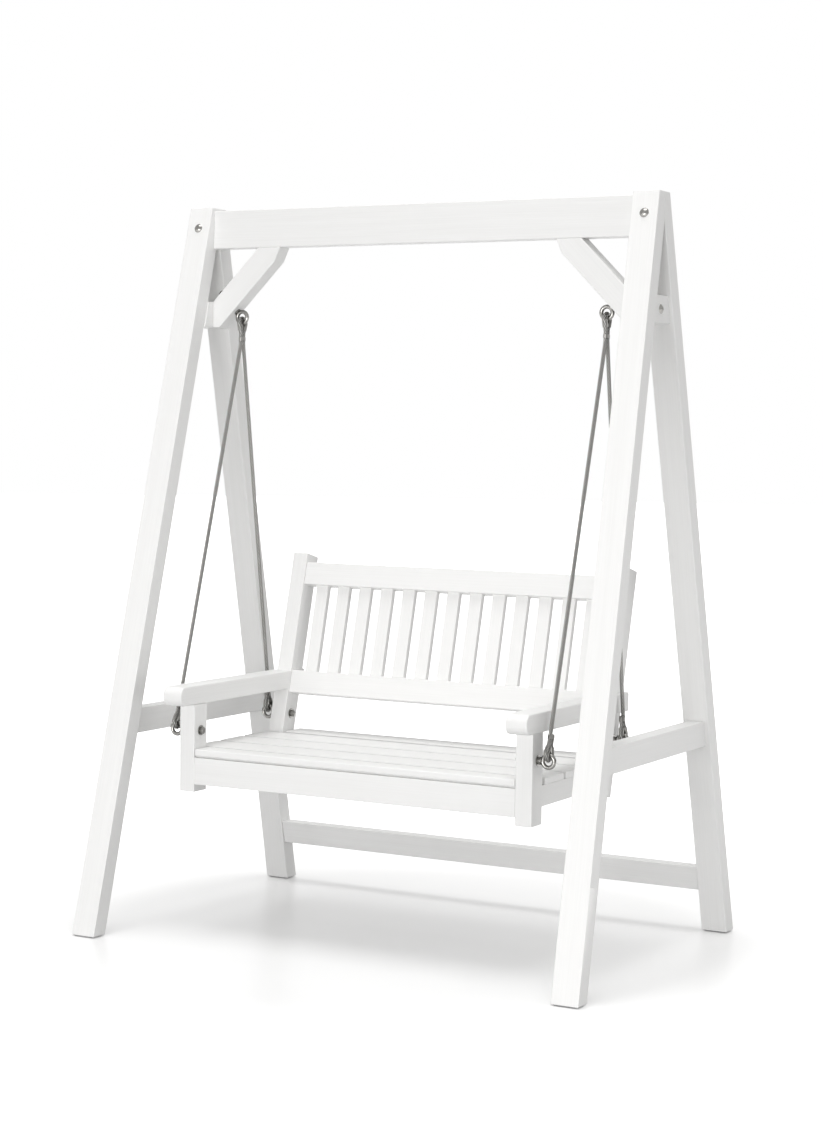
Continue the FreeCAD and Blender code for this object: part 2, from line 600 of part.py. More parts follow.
# Posts, seat side rails and armrests of both sides.
back_post_y = ("0", "back_post_depth")
back_post_z = ("-back_post_drop", "back_post_rise")
for word, side in SIDES:
    post_x = across(side, "inner_x", "outer_x")
    seat_rail_x = ("outer_x - seat_rail_setback - seat_rail_thickness", "outer_x - seat_rail_setback")
    depths = ("slat_thickness + seat_rail_height", "slat_thickness")
    stops = [f"back_foot - ({depth}) * back_slope" for depth in depths]
    rail_foot = "slat_foot - seat_rail_height"
    outline = [("post_rear", rail_foot), (stops[0], rail_foot)]
    outline += [(stops[1], "slat_foot"), ("post_rear", "slat_foot")]
    core = prism(f"seat_side_rail_{word}_core", "YZ", outline, *across(side, *seat_rail_x))
    tenon_x = across(side, "post_mid_x - bench_tenon / 2", "post_mid_x + bench_tenon / 2")
    tenon_y = ("post_rear - bench_tenon_reach", f"{stops[0]} + side_tenon_reach")
    tenon_z = (f"{rail_foot} + tenon_shoulder", "slat_foot - tenon_shoulder")
    side_tenons = board(f"seat_side_rail_{word}_tenons", tenon_x, tenon_y, tenon_z)
    side_mortise = board(f"seat_side_rail_{word}_mortise", grown(tenon_x), grown(tenon_y), grown(tenon_z))
    node(union(f"seat_side_rail_{word}", [core, side_tenons]))

    pin_x = across(side, "post_mid_x - bench_tenon / 2", "post_mid_x + bench_tenon / 2")
    pin_y = ("post_front + tenon_shoulder", "post_rear - tenon_shoulder")
    pin_z = ("arm_foot - tenon_shoulder", "arm_foot + bench_tenon_reach")
    post_z = ("seat_height - post_drop", "arm_foot")
    post_core = board(f"front_post_{word}_core", post_x, ("post_front", "post_rear"), post_z)
    pin = board(f"front_post_{word}_pin", pin_x, pin_y, pin_z)
    pin_mortise = board(f"front_post_{word}_mortise", grown(pin_x), grown(pin_y), grown(pin_z))
    post_blank = union(f"front_post_{word}_blank", [post_core, pin])
    node(cut(f"front_post_{word}", post_blank, [front_mortise, side_mortise, bench_holes[f"front_{word}"]]))

    back_core = board(f"back_post_{word}_core", post_x, back_post_y, back_post_z, leaning=True)
    back_openings = [rear_mortise, side_mortise, bench_holes[f"rear_{word}"]] + back_mortises
    node(cut(f"back_post_{word}", back_core, back_openings))

    arm_y = ("post_front - arm_overhang", "arm_end")
    arm_outline = [(arm_y[0], "arm_foot"), (arm_y[1], "arm_foot")]
    arm_outline += [(arm_y[1], "arm_top"), (arm_y[0], "arm_top")]
    arm_x = across(side, "inner_x", "inner_x + arm_width")
    arm_core = prism(f"armrest_{word}_core", "YZ", arm_outline, *arm_x)
    doc.recompute()
    nose = []
    for number, edge in enumerate(arm_core.Shape.Edges, start=1):
        box = edge.BoundBox
        if box.YLength < 1 and box.ZLength < 1 and box.YMax < value("post_front"):
            nose.append(f"Edge{number}")
    bar = arm_core.Tip
    rounding = arm_core.newObject("PartDesign::Fillet", f"armrest_{word}_nose")
    rounding.Base = (bar, nose)
    bind(rounding, "Radius", "arm_round")
    arm_core.Tip = rounding
    notch_x = across(side, f"inner_x - {OVERCUT}", "outer_x + fit_gap")
    notch = board(f"armrest_{word}_notch", notch_x, grown(back_post_y), back_post_z, leaning=True)
    node(cut(f"armrest_{word}", arm_core, [pin_mortise, notch]))

# Seat slats: one between the front posts, long ones over the side rails, one between the back posts.
slat_z = ("slat_foot", "seat_height")
short_x = ("-(inner_x - slat_play)", "inner_x - slat_play")
long_x = ("-(outer_x + slat_overhang)", "outer_x + slat_overhang")
node(board("seat_slat_1", short_x, ("post_front", "post_rear"), slat_z))
for index in range(LONG_SLATS):
    start = f"post_rear + slat_gap + {index} * (long_slat_width + slat_gap)"
    node(board(f"seat_slat_{index + 2}", long_x, (start, f"{start} + long_slat_width"), slat_z))
rear_start = "slat_stop + slat_gap"
node(board(f"seat_slat_{LONG_SLATS + 2}", short_x, (rear_start, f"{rear_start} + rear_slat_width"), slat_z))

# Wire ropes: each is doubled over a thimble in the top eye, and each end turns back round a thimble
# at a post. Slim pressed sleeves hold the strands together at the thimbles' tips.
ROPE = value("rope_diameter") / 2
CHANNEL = ROPE + value("rope_play") + value("thimble_wall")
BEND = value("thimble_bore") / 2 + CHANNEL
SINK = value("thimble_bore") / 2 - value("eye_wire") / 2 - value("link_play")
TIP = value("thimble_length")
EYE = value("eye_diameter") / 2
PAIR = ROPE + value("strand_gap") / 2
BUNDLE = value("sleeve_start") + value("sleeve_length") + value("sleeve_start")
EYE_CORNERS = 4


def flat(vector, turn):
    """A vector of the YZ plane turned about +X by radians."""
    y = vector.y * math.cos(turn) - vector.z * math.sin(turn)
    z = vector.y * math.sin(turn) + vector.z * math.cos(turn)
    return FreeCAD.Vector(vector.x, y, z)


def touch(centre, point, sign):
    """From a thimble's centre to where a line from a point meets the rope's circle, as an angle."""
    away = point - centre
    turn = sign * math.acos(BEND / away.Length)
    spoke = flat(away, turn)
    return math.atan2(spoke.z, spoke.y)


def eye_corners(centre, start, end):
    """Corners of the rope's way round a thimble, whose arcs together make its round end."""
    first = touch(centre, start, -1)
    sweep = (first - touch(centre, end, 1)) % (2 * math.pi)
    step = sweep / EYE_CORNERS
    reach = BEND / math.cos(step / 2)
    corners = []
    for index in range(EYE_CORNERS):
        angle = first - step * (index + 0.5)
        corners.append(centre + FreeCAD.Vector(0, math.cos(angle), math.sin(angle)) * reach)
    return corners


def rounded(points, radii):
    """Straight runs from point to point, joined by tangent arcs."""
    pieces = []
    reached = points[0]
    for before, corner, after, radius in zip(points, points[1:], points[2:], radii):
        into = (corner - before).normalize()
        out = (after - corner).normalize()
        turn = into.getAngle(out)
        trim = radius * math.tan(turn / 2)
        start = corner - into * trim
        middle = corner + (out - into).normalize() * (radius / math.cos(turn / 2) - radius)
        end = corner + out * trim
        if (start - reached).Length > value("rope_play"):
            pieces.append(Part.LineSegment(reached, start))
        else:
            start = reached
        pieces.append(Part.Arc(start, middle, end))
        reached = end
    pieces.append(Part.LineSegment(reached, points[-1]))
    return Part.Wire([piece.toShape() for piece in pieces])


def shaped(name, shape):
    item = doc.addObject("Part::Feature", name)
    item.Shape = shape
    return item


def channel(start, corners, end):
    """A thimble: sheet bent to a half-round channel along the rope's way, open at the tip."""
    flank = (corners[0] - start).normalize()
    start = start + flank * value("thimble_opening")
    end = end + (corners[-1] - end).normalize() * value("thimble_opening")
    spine = rounded([start] + corners + [end], [BEND] * EYE_CORNERS)
    aside = FreeCAD.Vector(1, 0, 0)
    inward = flat(flank, -math.pi / 2)
    groove = ROPE + value("rope_play")
    edges = []
    for radius in (CHANNEL, groove):
        rim = aside * radius
        edges.append(Part.Arc(start + rim, start + inward * radius, start - rim).toShape())
    for lip in (aside, -aside):
        edges.append(Part.LineSegment(start + lip * groove, start + lip * CHANNEL).toShape())
    section = Part.Wire(Part.__sortEdges__(edges))
    return spine.makePipeShell([section], True, False)


def sleeve(tip, axis, apart):
    """A pressed sleeve of oval section round two strands, beyond a thimble's tip."""
    foot = tip + axis * value("sleeve_start")
    length = value("sleeve_length")
    side = FreeCAD.Vector(1, 0, 0) * (ROPE + value("sleeve_wall"))
    cap = apart * (1 + (ROPE + value("sleeve_wall")) / apart.Length)
    edges = [
        Part.LineSegment(foot + apart + side, foot - apart + side).toShape(),
        Part.Arc(foot - apart + side, foot - cap, foot - apart - side).toShape(),
        Part.LineSegment(foot - apart - side, foot + apart - side).toShape(),
        Part.Arc(foot + apart - side, foot + cap, foot + apart + side).toShape(),
    ]
    block = Part.Face(Part.Wire(edges)).extrude(axis * length)
    for strand in (foot + apart, foot - apart):
        block = block.cut(Part.makeCylinder(ROPE + value("rope_play") / 2, length, strand, axis))
    return block


top_thimbles = []
bench_thimbles = []
sleeves = []
for word, side in SIDES:
    x = side * value("hang_x")
    down = FreeCAD.Vector(0, 0, -1)
    back = FreeCAD.Vector(0, PAIR, 0)
    top_centre = FreeCAD.Vector(x, 0, value("swing_z")) + down * SINK
    top_tip = top_centre + down * TIP
    top_corners = eye_corners(top_centre, top_tip - back, top_tip + back)
    top_thimbles.append(shaped(f"top_thimble_{word}", channel(top_tip - back, top_corners, top_tip + back)))
    sleeves.append(shaped(f"top_sleeve_{word}", sleeve(top_tip, down, back)))
    routes = {}
    for end, facing in ENDS:
        hook = FreeCAD.Vector(x, value(f"{end}_eye_y"), value("bench_eye_z") + EYE)
        parting = top_tip + down * BUNDLE + back * facing
        reach = parting - hook
        axis = flat(reach, facing * math.asin(PAIR / reach.Length)).normalize()
        apart = flat(axis, -math.pi / 2) * PAIR
        centre = hook + axis * SINK
        tip = centre + axis * TIP
        corners = eye_corners(centre, tip + apart, tip - apart)
        name = f"{end}_{word}"
        bench_thimbles.append(shaped(f"bench_thimble_{name}", channel(tip + apart, corners, tip - apart)))
        sleeves.append(shaped(f"bench_sleeve_{name}", sleeve(tip, axis, apart)))
        tail = axis * (BUNDLE - value("sleeve_start") / 2)
        routes[end] = ([tip + apart] + corners + [tip - apart], tail, parting)
    front_eye, front_tail, front_parting = routes["front"]
    rear_eye, rear_tail, rear_parting = routes["rear"]
    route = [front_eye[0] + front_tail] + front_eye + [front_parting, top_tip - back] + top_corners
    route += [top_tip + back, rear_parting] + rear_eye + [rear_eye[-1] + rear_tail]
    bend = value("rope_bend")
    eye_radii = [bend] + [BEND] * EYE_CORNERS + [bend]
    radii = eye_radii + [bend] + eye_radii + [bend] + eye_radii
    way = rounded(route, radii)
    heading = (route[1] - route[0]).normalize()
    section = Part.Wire(Part.Circle(route[0], heading, ROPE).toShape())
    rope = node(shaped(f"rope_{word}", way.makePipeShell([section], True, False)))
    print(f"rope_{word}: way {way.Length:.1f} mm, volume {rope.Shape.Volume:.0f},"
          f" section times way {math.pi * ROPE ** 2 * way.Length:.0f}")
    print("radii", [round(radius, 2) for radius in radii])
    print("route", [(round(point.y, 2), round(point.z, 2)) for point in route])
node(group("top_thimbles", top_thimbles))
node(group("bench_thimbles", bench_thimbles))
node(group("rope_sleeves", sleeves))

doc.recompute()

faults = []
for item in doc.Objects:
    if "Invalid" in item.State or "Error" in item.State:
        faults.append(f"{item.Name}: {item.State}")
for item in NODES:
    if item.Shape.isNull() or not item.Shape.isValid():
        faults.append(f"{item.Name}: bad shape")
if faults:
    raise RuntimeError("; ".join(faults))
for item in NODES:
    item.Shape.exportStep(f"parts/{item.Label}.step")
print(len(NODES), "sub-parts")
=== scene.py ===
# %% [markdown]
# # A white swing bench on its A-frame
#
# The object is a garden bench of painted timber, hung on wire ropes from a stand of the same timber.
# The solids come from the CAD model, which fixes every size and place. This lesson dresses them: it
# softens the boards' edges, lays up the ropes from strands, mixes the paint and the steel, and lights
# the whole as a studio does.

# %% Load the solids
import json
import math

import bmesh
import bpy
from mathutils import Matrix, Vector


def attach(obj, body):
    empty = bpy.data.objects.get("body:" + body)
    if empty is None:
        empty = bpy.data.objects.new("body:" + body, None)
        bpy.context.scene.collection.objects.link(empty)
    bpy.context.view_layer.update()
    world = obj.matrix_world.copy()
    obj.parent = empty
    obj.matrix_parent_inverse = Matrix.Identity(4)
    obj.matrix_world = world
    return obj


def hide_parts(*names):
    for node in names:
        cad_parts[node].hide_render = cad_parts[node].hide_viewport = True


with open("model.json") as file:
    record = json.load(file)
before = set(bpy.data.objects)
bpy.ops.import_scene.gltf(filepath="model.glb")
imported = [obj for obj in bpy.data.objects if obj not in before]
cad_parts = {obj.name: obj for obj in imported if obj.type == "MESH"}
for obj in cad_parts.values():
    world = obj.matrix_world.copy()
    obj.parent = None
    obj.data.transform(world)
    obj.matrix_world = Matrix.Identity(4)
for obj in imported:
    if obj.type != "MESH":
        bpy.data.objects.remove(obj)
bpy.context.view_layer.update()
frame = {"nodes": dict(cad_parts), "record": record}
scene = bpy.context.scene
scene.view_settings.view_transform = "Standard"
body_of_node = {}
for body, nodes in frame["record"]["behaviour"]["bodies"].items():
    for name in nodes:
        body_of_node[name] = body
nodes_of_slot = {}
for part in frame["record"]["subparts"]:
    nodes_of_slot.setdefault(part["material_slot"], []).append(part["node"])
print("solids of each finish:", {slot: len(names) for slot, names in nodes_of_slot.items()})

# %% [markdown]
# ## Where the photographer stood
#
# The camera stands to the right of the bench at chest height and looks a little down. A long lens keeps
# the legs nearly parallel. Blender's camera looks along its own -Z, so it is first tipped up to the
# horizon and then turned about the vertical.

# %% Set up the camera
IMAGE_HEIGHT = 1144
FOCAL_PIXELS = 2295
lens = bpy.data.cameras.new("photo_view")
lens.sensor_fit = "VERTICAL"
lens.sensor_height = 36
lens.lens = lens.sensor_height * FOCAL_PIXELS / IMAGE_HEIGHT
viewer = bpy.data.objects.new("photo_view", lens)
turn = Matrix.Rotation(math.radians(28.624), 4, "Z")
tip = Matrix.Rotation(math.radians(90 - 3.459), 4, "X")
roll = Matrix.Rotation(math.radians(0.864), 4, "Z")
viewer.matrix_world = Matrix.Translation((2.8391, -5.2099, 1.3045)) @ turn @ tip @ roll
scene.collection.objects.link(viewer)
scene.camera = viewer
print("lens", round(lens.lens, 1), "mm")

# %% [markdown]
# ## The way of a rope
#
# On each side one rope carries the bench. It starts beside its own strand above the front post, turns
# round the front thimble, runs up to the thimble in the top eye, over it and down again to the rear
# thimble, and ends beside itself there. It is tight, so between the thimbles it is straight. A NURBS
# line through few points gives such a way without kinks: points close together hold a turn, and a point
# near each end of a long run keeps that run straight.

# %% Draw the rope's centre line
ROPE_X = 0.533
ROPE_WAY = [
    (-0.26999, 0.59291), (-0.27617, 0.57180), (-0.27537, 0.55469), (-0.27467, 0.53973),
    (-0.28644, 0.53047), (-0.30083, 0.53467), (-0.30576, 0.54883), (-0.29709, 0.56107),
    (-0.28721, 0.57502), (-0.27820, 0.60582), (-0.01305, 1.51225), (-0.00575, 1.53720),
    (-0.00575, 1.56320), (-0.01132, 1.57938), (-0.01620, 1.59355), (-0.00749, 1.60575),
    (0.00749, 1.60575), (0.01620, 1.59355), (0.01132, 1.57938), (0.00575, 1.56320),
    (0.00575, 1.53720), (0.00972, 1.51151), (0.14964, 0.60685), (0.15455, 0.57513),
    (0.16253, 0.55999), (0.16951, 0.54673), (0.16277, 0.53335), (0.14796, 0.53106),
    (0.13750, 0.54178), (0.14015, 0.55652), (0.14318, 0.57337), (0.13982, 0.59511),
]


def rope_line(name, x):
    """A bare NURBS curve along the rope's way, and the points that it passes."""
    curve = bpy.data.curves.new(name, "CURVE")
    curve.dimensions = "3D"
    curve.resolution_u = 24
    spline = curve.splines.new("NURBS")
    spline.points.add(len(ROPE_WAY) - 1)
    for point, (y, z) in zip(spline.points, ROPE_WAY):
        point.co = (x, y, z, 1)
    spline.order_u = 3
    spline.use_endpoint_u = True
    line = bpy.data.objects.new(name, curve)
    scene.collection.objects.link(line)
    traced = bpy.data.meshes.new_from_object(line)
    points = [vertex.co.copy() for vertex in traced.vertices]
    bpy.data.meshes.remove(traced)
    return line, points


lines = {word: rope_line(f"rope_{word}_line", side * ROPE_X) for word, side in (("left", -1), ("right", 1))}
for word, (line, points) in lines.items():
    print(word, "rope passes", len(points), "points")

# %% [markdown]
# ## Strands of wire
#
# A wire rope is six strands laid round a seventh. Each strand is a small ring that is spun about the
# rope's axis while it moves along it, which is just what a spin with a step does. One turn is enough:
# an Array modifier repeats it to the rope's length, and a Curve modifier bends the straight rope along
# its centre line, so the lay follows every turn. Each point remembers how far out it lies, so that the
# grooves between the strands can be given a painted shade, darker the deeper they lie.

# %% Spin one turn of rope
ROPE_DIAMETER = 0.0105
STRAND = ROPE_DIAMETER / 6
LAY = 0.052
TURN_STEPS = 14
RING_SIDES = 10


def turn_of_rope(lay):
    """One turn of straight rope along +X: six strands that wind round a core."""
    rope = bmesh.new()
    upright = Matrix.Rotation(math.pi / 2, 4, "Y")
    places = [Matrix.Identity(4)]
    for index in range(6):
        places.append(Matrix.Rotation(index * math.pi / 3, 4, "X") @ Matrix.Translation((0, 0, 2 * STRAND)))
    for place in places:
        ring = bmesh.ops.create_circle(
            rope, cap_ends=False, segments=RING_SIDES, radius=STRAND, matrix=place @ upright)["verts"]
        edges = {edge for vertex in ring for edge in vertex.link_edges}
        bmesh.ops.spin(
            rope, geom=ring + list(edges), cent=(0, 0, 0), axis=(1, 0, 0), dvec=(lay / TURN_STEPS, 0, 0),
            angle=2 * math.pi, steps=TURN_STEPS, use_merge=False, use_duplicate=False)
    # How far out each point lies; the rope's colour paints shade into the grooves from it.
    height = rope.verts.layers.float.new("height")
    for vertex in rope.verts:
        vertex[height] = vertex.co.yz.length / (ROPE_DIAMETER / 2)
    for face in rope.faces:
        face.smooth = True
    return rope


# %% Repeat the turn and bend the rope
def wire_rope(word, line, points):
    """A rope along its line, as long as the line is."""
    length = sum((b - a).length for a, b in zip(points, points[1:]))
    turns = round(length / LAY)
    rope = turn_of_rope(length / turns)
    mesh = bpy.data.meshes.new(f"wire_rope_{word}")
    rope.to_mesh(mesh)
    rope.free()
    piece = bpy.data.objects.new(mesh.name, mesh)
    scene.collection.objects.link(piece)
    repeat = piece.modifiers.new("repeat", "ARRAY")
    repeat.count = turns
    repeat.use_relative_offset = False
    repeat.use_constant_offset = True
    repeat.constant_offset_displace = (length / turns, 0, 0)
    repeat.use_merge_vertices = True
    repeat.merge_threshold = 1e-5
    bend = piece.modifiers.new("bend", "CURVE")
    bend.object = line
    bend.deform_axis = "POS_X"
    bent = bpy.data.meshes.new_from_object(piece.evaluated_get(bpy.context.evaluated_depsgraph_get()))
    piece.modifiers.clear()
    piece.data = bent
    rope = bmesh.new()
    rope.from_mesh(bent)
    ends = bmesh.ops.holes_fill(rope, edges=[edge for edge in rope.edges if edge.is_boundary], sides=0)
    for edge in {edge for face in ends["faces"] for edge in face.edges}:
        edge.smooth = False
    bmesh.ops.recalc_face_normals(rope, faces=rope.faces)
    rope.to_mesh(bent)
    rope.free()
    bpy.data.objects.remove(line)
    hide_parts(f"rope_{word}")
    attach(piece, "bench")
    print(f"rope {word}: {length:.3f} m, {turns} turns, {len(bent.polygons)} faces")
    return piece


ropes = [wire_rope(word, line, points) for word, (line, points) in lines.items()]

# %% [markdown]
# ## Boards with softened edges
#
# The timber is planed square and its edges are eased before painting, so every edge carries a thin
# highlight. A Bevel modifier could do that, but the solids come as loose triangles. A copy of each is
# merged, its flat faces are joined again, and then the outlines of its outer sides are bevelled. The
# rims of mortises and bolt holes are inside such an outline and stay sharp. Without its triangles, a
# flat face with an opening in it needs some edge from the opening to its outline, and a slanting one may
# lie close beside the edges to bevel. So the board is first cut straight across at each opening, and
# only those cuts are kept. The legs' feet get a low flat chamfer first, so that they don't split on the
# ground, and it draws a dark line under each. The grain runs along a board's longest edge, so each board stores its own
# coordinates for the paint: along the grain first, then across it.

# %% Ease the edges of the boards
LEAST_TURN = math.radians(30)
FLAT_TURN = math.radians(1)
SAME_CORNER = 0.015
ROUND_RIM = 9
END_ROOM = 0.03
TOUCH = 1e-4
FOOT_INSET = 0.008
FOOT_RISE = 0.004


def edge_ease(name):
    """How far a board's edges are rounded: most where people sit and rest their arms."""
    if name.startswith("seat_slat"):
        return 0.003
    if name.startswith("armrest"):
        return 0.004
    return 0.002


def cut_levels(levels):
    """Where to cut a board: through its round holes, and between one group of corners and the next."""
    levels = sorted(levels)
    groups = [[levels[0]]]
    for level in levels[1:]:
        if level - groups[-1][-1] > SAME_CORNER:
            groups.append([])
        groups[-1].append(level)
    cuts = [(group[0] + group[-1]) / 2 for group in groups if len(group) > ROUND_RIM]
    cuts += [(group[-1] + after[0]) / 2 for group, after in zip(groups, groups[1:])]
    return [level for level in cuts if levels[0] + END_ROOM < level < levels[-1] - END_ROOM]


def open_flats(board, along):
    """Join a board's flat faces, with straight cuts across it instead of slanting edges round its openings."""
    bmesh.ops.dissolve_limit(
        board, angle_limit=FLAT_TURN, use_dissolve_boundaries=False, verts=board.verts, edges=board.edges)
    for level in cut_levels([vertex.co.dot(along) for vertex in board.verts]):
        cut = bmesh.ops.bisect_plane(
            board, geom=board.verts[:] + board.edges[:] + board.faces[:], dist=1e-6, plane_co=along * level,
            plane_no=along)["geom_cut"]
        for edge in cut:
            if isinstance(edge, bmesh.types.BMEdge):
                edge.seam = True
    bmesh.ops.dissolve_limit(
        board, angle_limit=FLAT_TURN, use_dissolve_boundaries=False, verts=board.verts, edges=board.edges,
        delimit={"SEAM"})


def chamfer_foot(leg, along):
    """Take the lower edges off a leg with a flat chamfer, wider than it is high."""
    rim = [edge for edge in leg.edges
           if edge.calc_face_angle() > LEAST_TURN and all(abs(vertex.co.z) < TOUCH for vertex in edge.verts)]
    chamfer = bmesh.ops.bevel(
        leg, geom=rim, offset=FOOT_INSET, offset_type="OFFSET", affect="EDGES", segments=1, profile=0.5,
        material=-1, clamp_overlap=False)
    for vertex in {vertex for face in chamfer["faces"] for vertex in face.verts}:
        drop = vertex.co.z * (1 - FOOT_RISE / FOOT_INSET)
        bmesh.ops.translate(leg, verts=[vertex], vec=along * (-drop / along.z))


def bounds_side(edge, face, spots):
    """Whether a face is an outer side of the board and the edge is on that side's outline."""
    middle = face.calc_center_median()
    if any((spot - middle).dot(face.normal) > TOUCH for spot in spots):
        return False
    start = edge.verts[0].co
    inward = face.normal.cross((edge.verts[1].co - start).normalized())
    if (middle - start).dot(inward) < 0:
        inward = -inward
    level = [spot for spot in spots if abs((spot - middle).dot(face.normal)) < TOUCH]
    return all((spot - start).dot(inward) > -TOUCH for spot in level)


def eased_board(name, number):
    """A copy of a board with softened edges and its own grain coordinates."""
    board = bmesh.new()
    board.from_mesh(frame["nodes"][name].data)
    bmesh.ops.remove_doubles(board, verts=board.verts, dist=1e-5)
    longest = max(board.edges, key=lambda edge: edge.calc_length() * (edge.calc_face_angle() > LEAST_TURN))
    along = (longest.verts[1].co - longest.verts[0].co).normalized()
    across = along.orthogonal().normalized()
    open_flats(board, along)
    if "_leg_" in name:
        chamfer_foot(board, along)
    spots = [vertex.co for vertex in board.verts]
    sharp = [edge for edge in board.edges
             if edge.is_convex and edge.calc_face_angle() > LEAST_TURN
             and min(vertex.co.z for vertex in edge.verts) > TOUCH
             and any(bounds_side(edge, face, spots) for face in edge.link_faces)]
    bmesh.ops.bevel(
        board, geom=sharp, offset=edge_ease(name), offset_type="OFFSET", affect="EDGES", segments=3, profile=0.5,
        material=-1, clamp_overlap=False)
    bmesh.ops.dissolve_degenerate(board, edges=board.edges, dist=TOUCH / 2)
    for face in board.faces:
        face.smooth = True
    for edge in board.edges:
        edge.smooth = edge.is_manifold and edge.calc_face_angle() < math.radians(40)
    grain = board.verts.layers.float_vector.new("grain")
    start = Vector((number * 1.7, number * 0.31, number * 0.53))
    for vertex in board.verts:
        spot = Vector((vertex.co.dot(along), vertex.co.dot(across), vertex.co.dot(along.cross(across))))
        vertex[grain] = spot + start
    mesh = bpy.data.meshes.new(f"{name}_board")
    board.to_mesh(mesh)
    board.free()
    piece = bpy.data.objects.new(mesh.name, mesh)
    scene.collection.objects.link(piece)
    weighted = piece.modifiers.new("even_shading", "WEIGHTED_NORMAL")
    weighted.keep_sharp = True
    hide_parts(name)
    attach(piece, body_of_node[name])
    return piece


boards = [eased_board(name, number) for number, name in enumerate(nodes_of_slot["painted_wood"])]
print(len(boards), "boards,", sum(len(board.data.polygons) for board in boards), "faces")

# %% [markdown]
# ## Round steel
#
# Bolts, eyes and thimbles are turned or bent from round bar, so their faces have to shade as one smooth
# skin. The solids' triangles are merged in a copy, every turn of less than 35 degrees is shaded smooth,
# and the rims of washers and heads stay crisp.

# %% Smooth the fittings
def smooth_fitting(name):
    """A copy of a steel fitting that shades as round bar does."""
    fitting = bmesh.new()
    fitting.from_mesh(frame["nodes"][name].data)
    bmesh.ops.remove_doubles(fitting, verts=fitting.verts, dist=1e-6)
    for face in fitting.faces:
        face.smooth = True
    for edge in fitting.edges:
        edge.smooth = edge.is_manifold and edge.calc_face_angle() < math.radians(35)
    mesh = bpy.data.meshes.new(f"{name}_fitting")
    fitting.to_mesh(mesh)
    fitting.free()
    piece = bpy.data.objects.new(mesh.name, mesh)
    scene.collection.objects.link(piece)
    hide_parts(name)
    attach(piece, body_of_node[name])
    return piece


fittings = [smooth_fitting(name) for name in nodes_of_slot["hardware"]]
print(len(fittings), "steel fittings")

# %% [markdown]
# ## Sums in a material
#
# A finish is a sum of patterns, and sums are easier to read as Python than as boxes and wires. This
# class wraps one socket: an operator on it adds the Math node, and `node` adds any other node.


# %% Wrap a socket
class Tone:
    """One socket of a material, to be used in sums."""

    def __init__(self, socket):
        self.socket = socket

    def node(self, kind, settings, sockets, output=0):
        """Add a node in the same material: settings first, then values or links of its sockets."""
        tree = self.socket.id_data
        made = tree.nodes.new(kind)
        for name, setting in settings.items():
            setattr(made, name, setting)
        for name, value in sockets.items():
            if isinstance(value, Tone):
                tree.links.new(value.socket, made.inputs[name])
            else:
                made.inputs[name].default_value = value
        return Tone(made.outputs[output])

    def sum(self, operation, first, second):
        return self.node("ShaderNodeMath", {"operation": operation}, {0: first, 1: second})

    def __add__(self, other):
        return self.sum("ADD", self, other)

    def __mul__(self, other):
        return self.sum("MULTIPLY", self, other)

    def __sub__(self, other):
        return self.sum("SUBTRACT", self, other)

    def __rsub__(self, other):
        return self.sum("SUBTRACT", other, self)

    def __pow__(self, other):
        return self.sum("POWER", self, other)

    __radd__ = __add__
    __rmul__ = __mul__

    def streaks(self, along, across, detail):
        """Noise drawn out along the first coordinate: streaks per metre along and across."""
        drawn = self.node("ShaderNodeMapping", {}, {"Vector": self, "Scale": (along, across, across)})
        return self.node("ShaderNodeTexNoise", {}, {"Vector": drawn, "Scale": 1.0, "Detail": detail})

    def blend(self, low, high):
        """A colour between two, by this value."""
        return self.node(
            "ShaderNodeMix", {"data_type": "RGBA"}, {0: self, 6: (*low, 1), 7: (*high, 1)}, output=2)

    def bump(self, depth, strength):
        return self.node(
            "ShaderNodeBump", {}, {"Height": self, "Distance": depth, "Strength": strength})


def new_finish(name, **shader_values):
    """A material with one shader, whose even values are set on its own sockets."""
    finish = bpy.data.materials.new(name)
    finish.use_nodes = True
    shader = finish.node_tree.nodes["Principled BSDF"]
    for socket, value in shader_values.items():
        shader.inputs[socket.replace("_", " ")].default_value = value
    return finish, shader


def feed(shader, **tones):
    """Link tones to the shader's sockets."""
    for socket, tone in tones.items():
        shader.id_data.links.new(tone.socket, shader.inputs[socket.replace("_", " ")])


def coordinates(finish, name, output="Vector"):
    """The object's own coordinates, or what a piece stores under a name."""
    if name == "object":
        return Tone(finish.node_tree.nodes.new("ShaderNodeTexCoord").outputs["Object"])
    stored = finish.node_tree.nodes.new("ShaderNodeAttribute")
    stored.attribute_name = name
    return Tone(stored.outputs[output])


# %% [markdown]
# ## White paint over grain
#
# The paint is a satin white, brushed on in two thin coats. The soft wood shows through as long faint
# streaks, a little darker in the hollows, and the brush leaves finer lines along the board. Both follow
# the grain coordinates, so each board differs from its neighbour.

# %% Mix the paint
paint, shader = new_finish("white_paint", Specular_IOR_Level=0.4)
spot = coordinates(paint, "grain")
growth = spot.streaks(1.6, 55, 3)
pores = spot.streaks(7, 420, 2)
brush = spot.streaks(2.5, 900, 1)
relief = growth * 0.35 + pores * 0.4 + brush * 0.25
feed(
    shader,
    Base_Color=relief.blend((0.785, 0.782, 0.772), (0.92, 0.92, 0.915)),
    Roughness=0.36 + growth * 0.12 + brush * 0.08,
    Normal=relief.bump(0.0005, 0.35),
)
for board in boards:
    board.data.materials.append(paint)
print("paint on", len(boards), "boards")
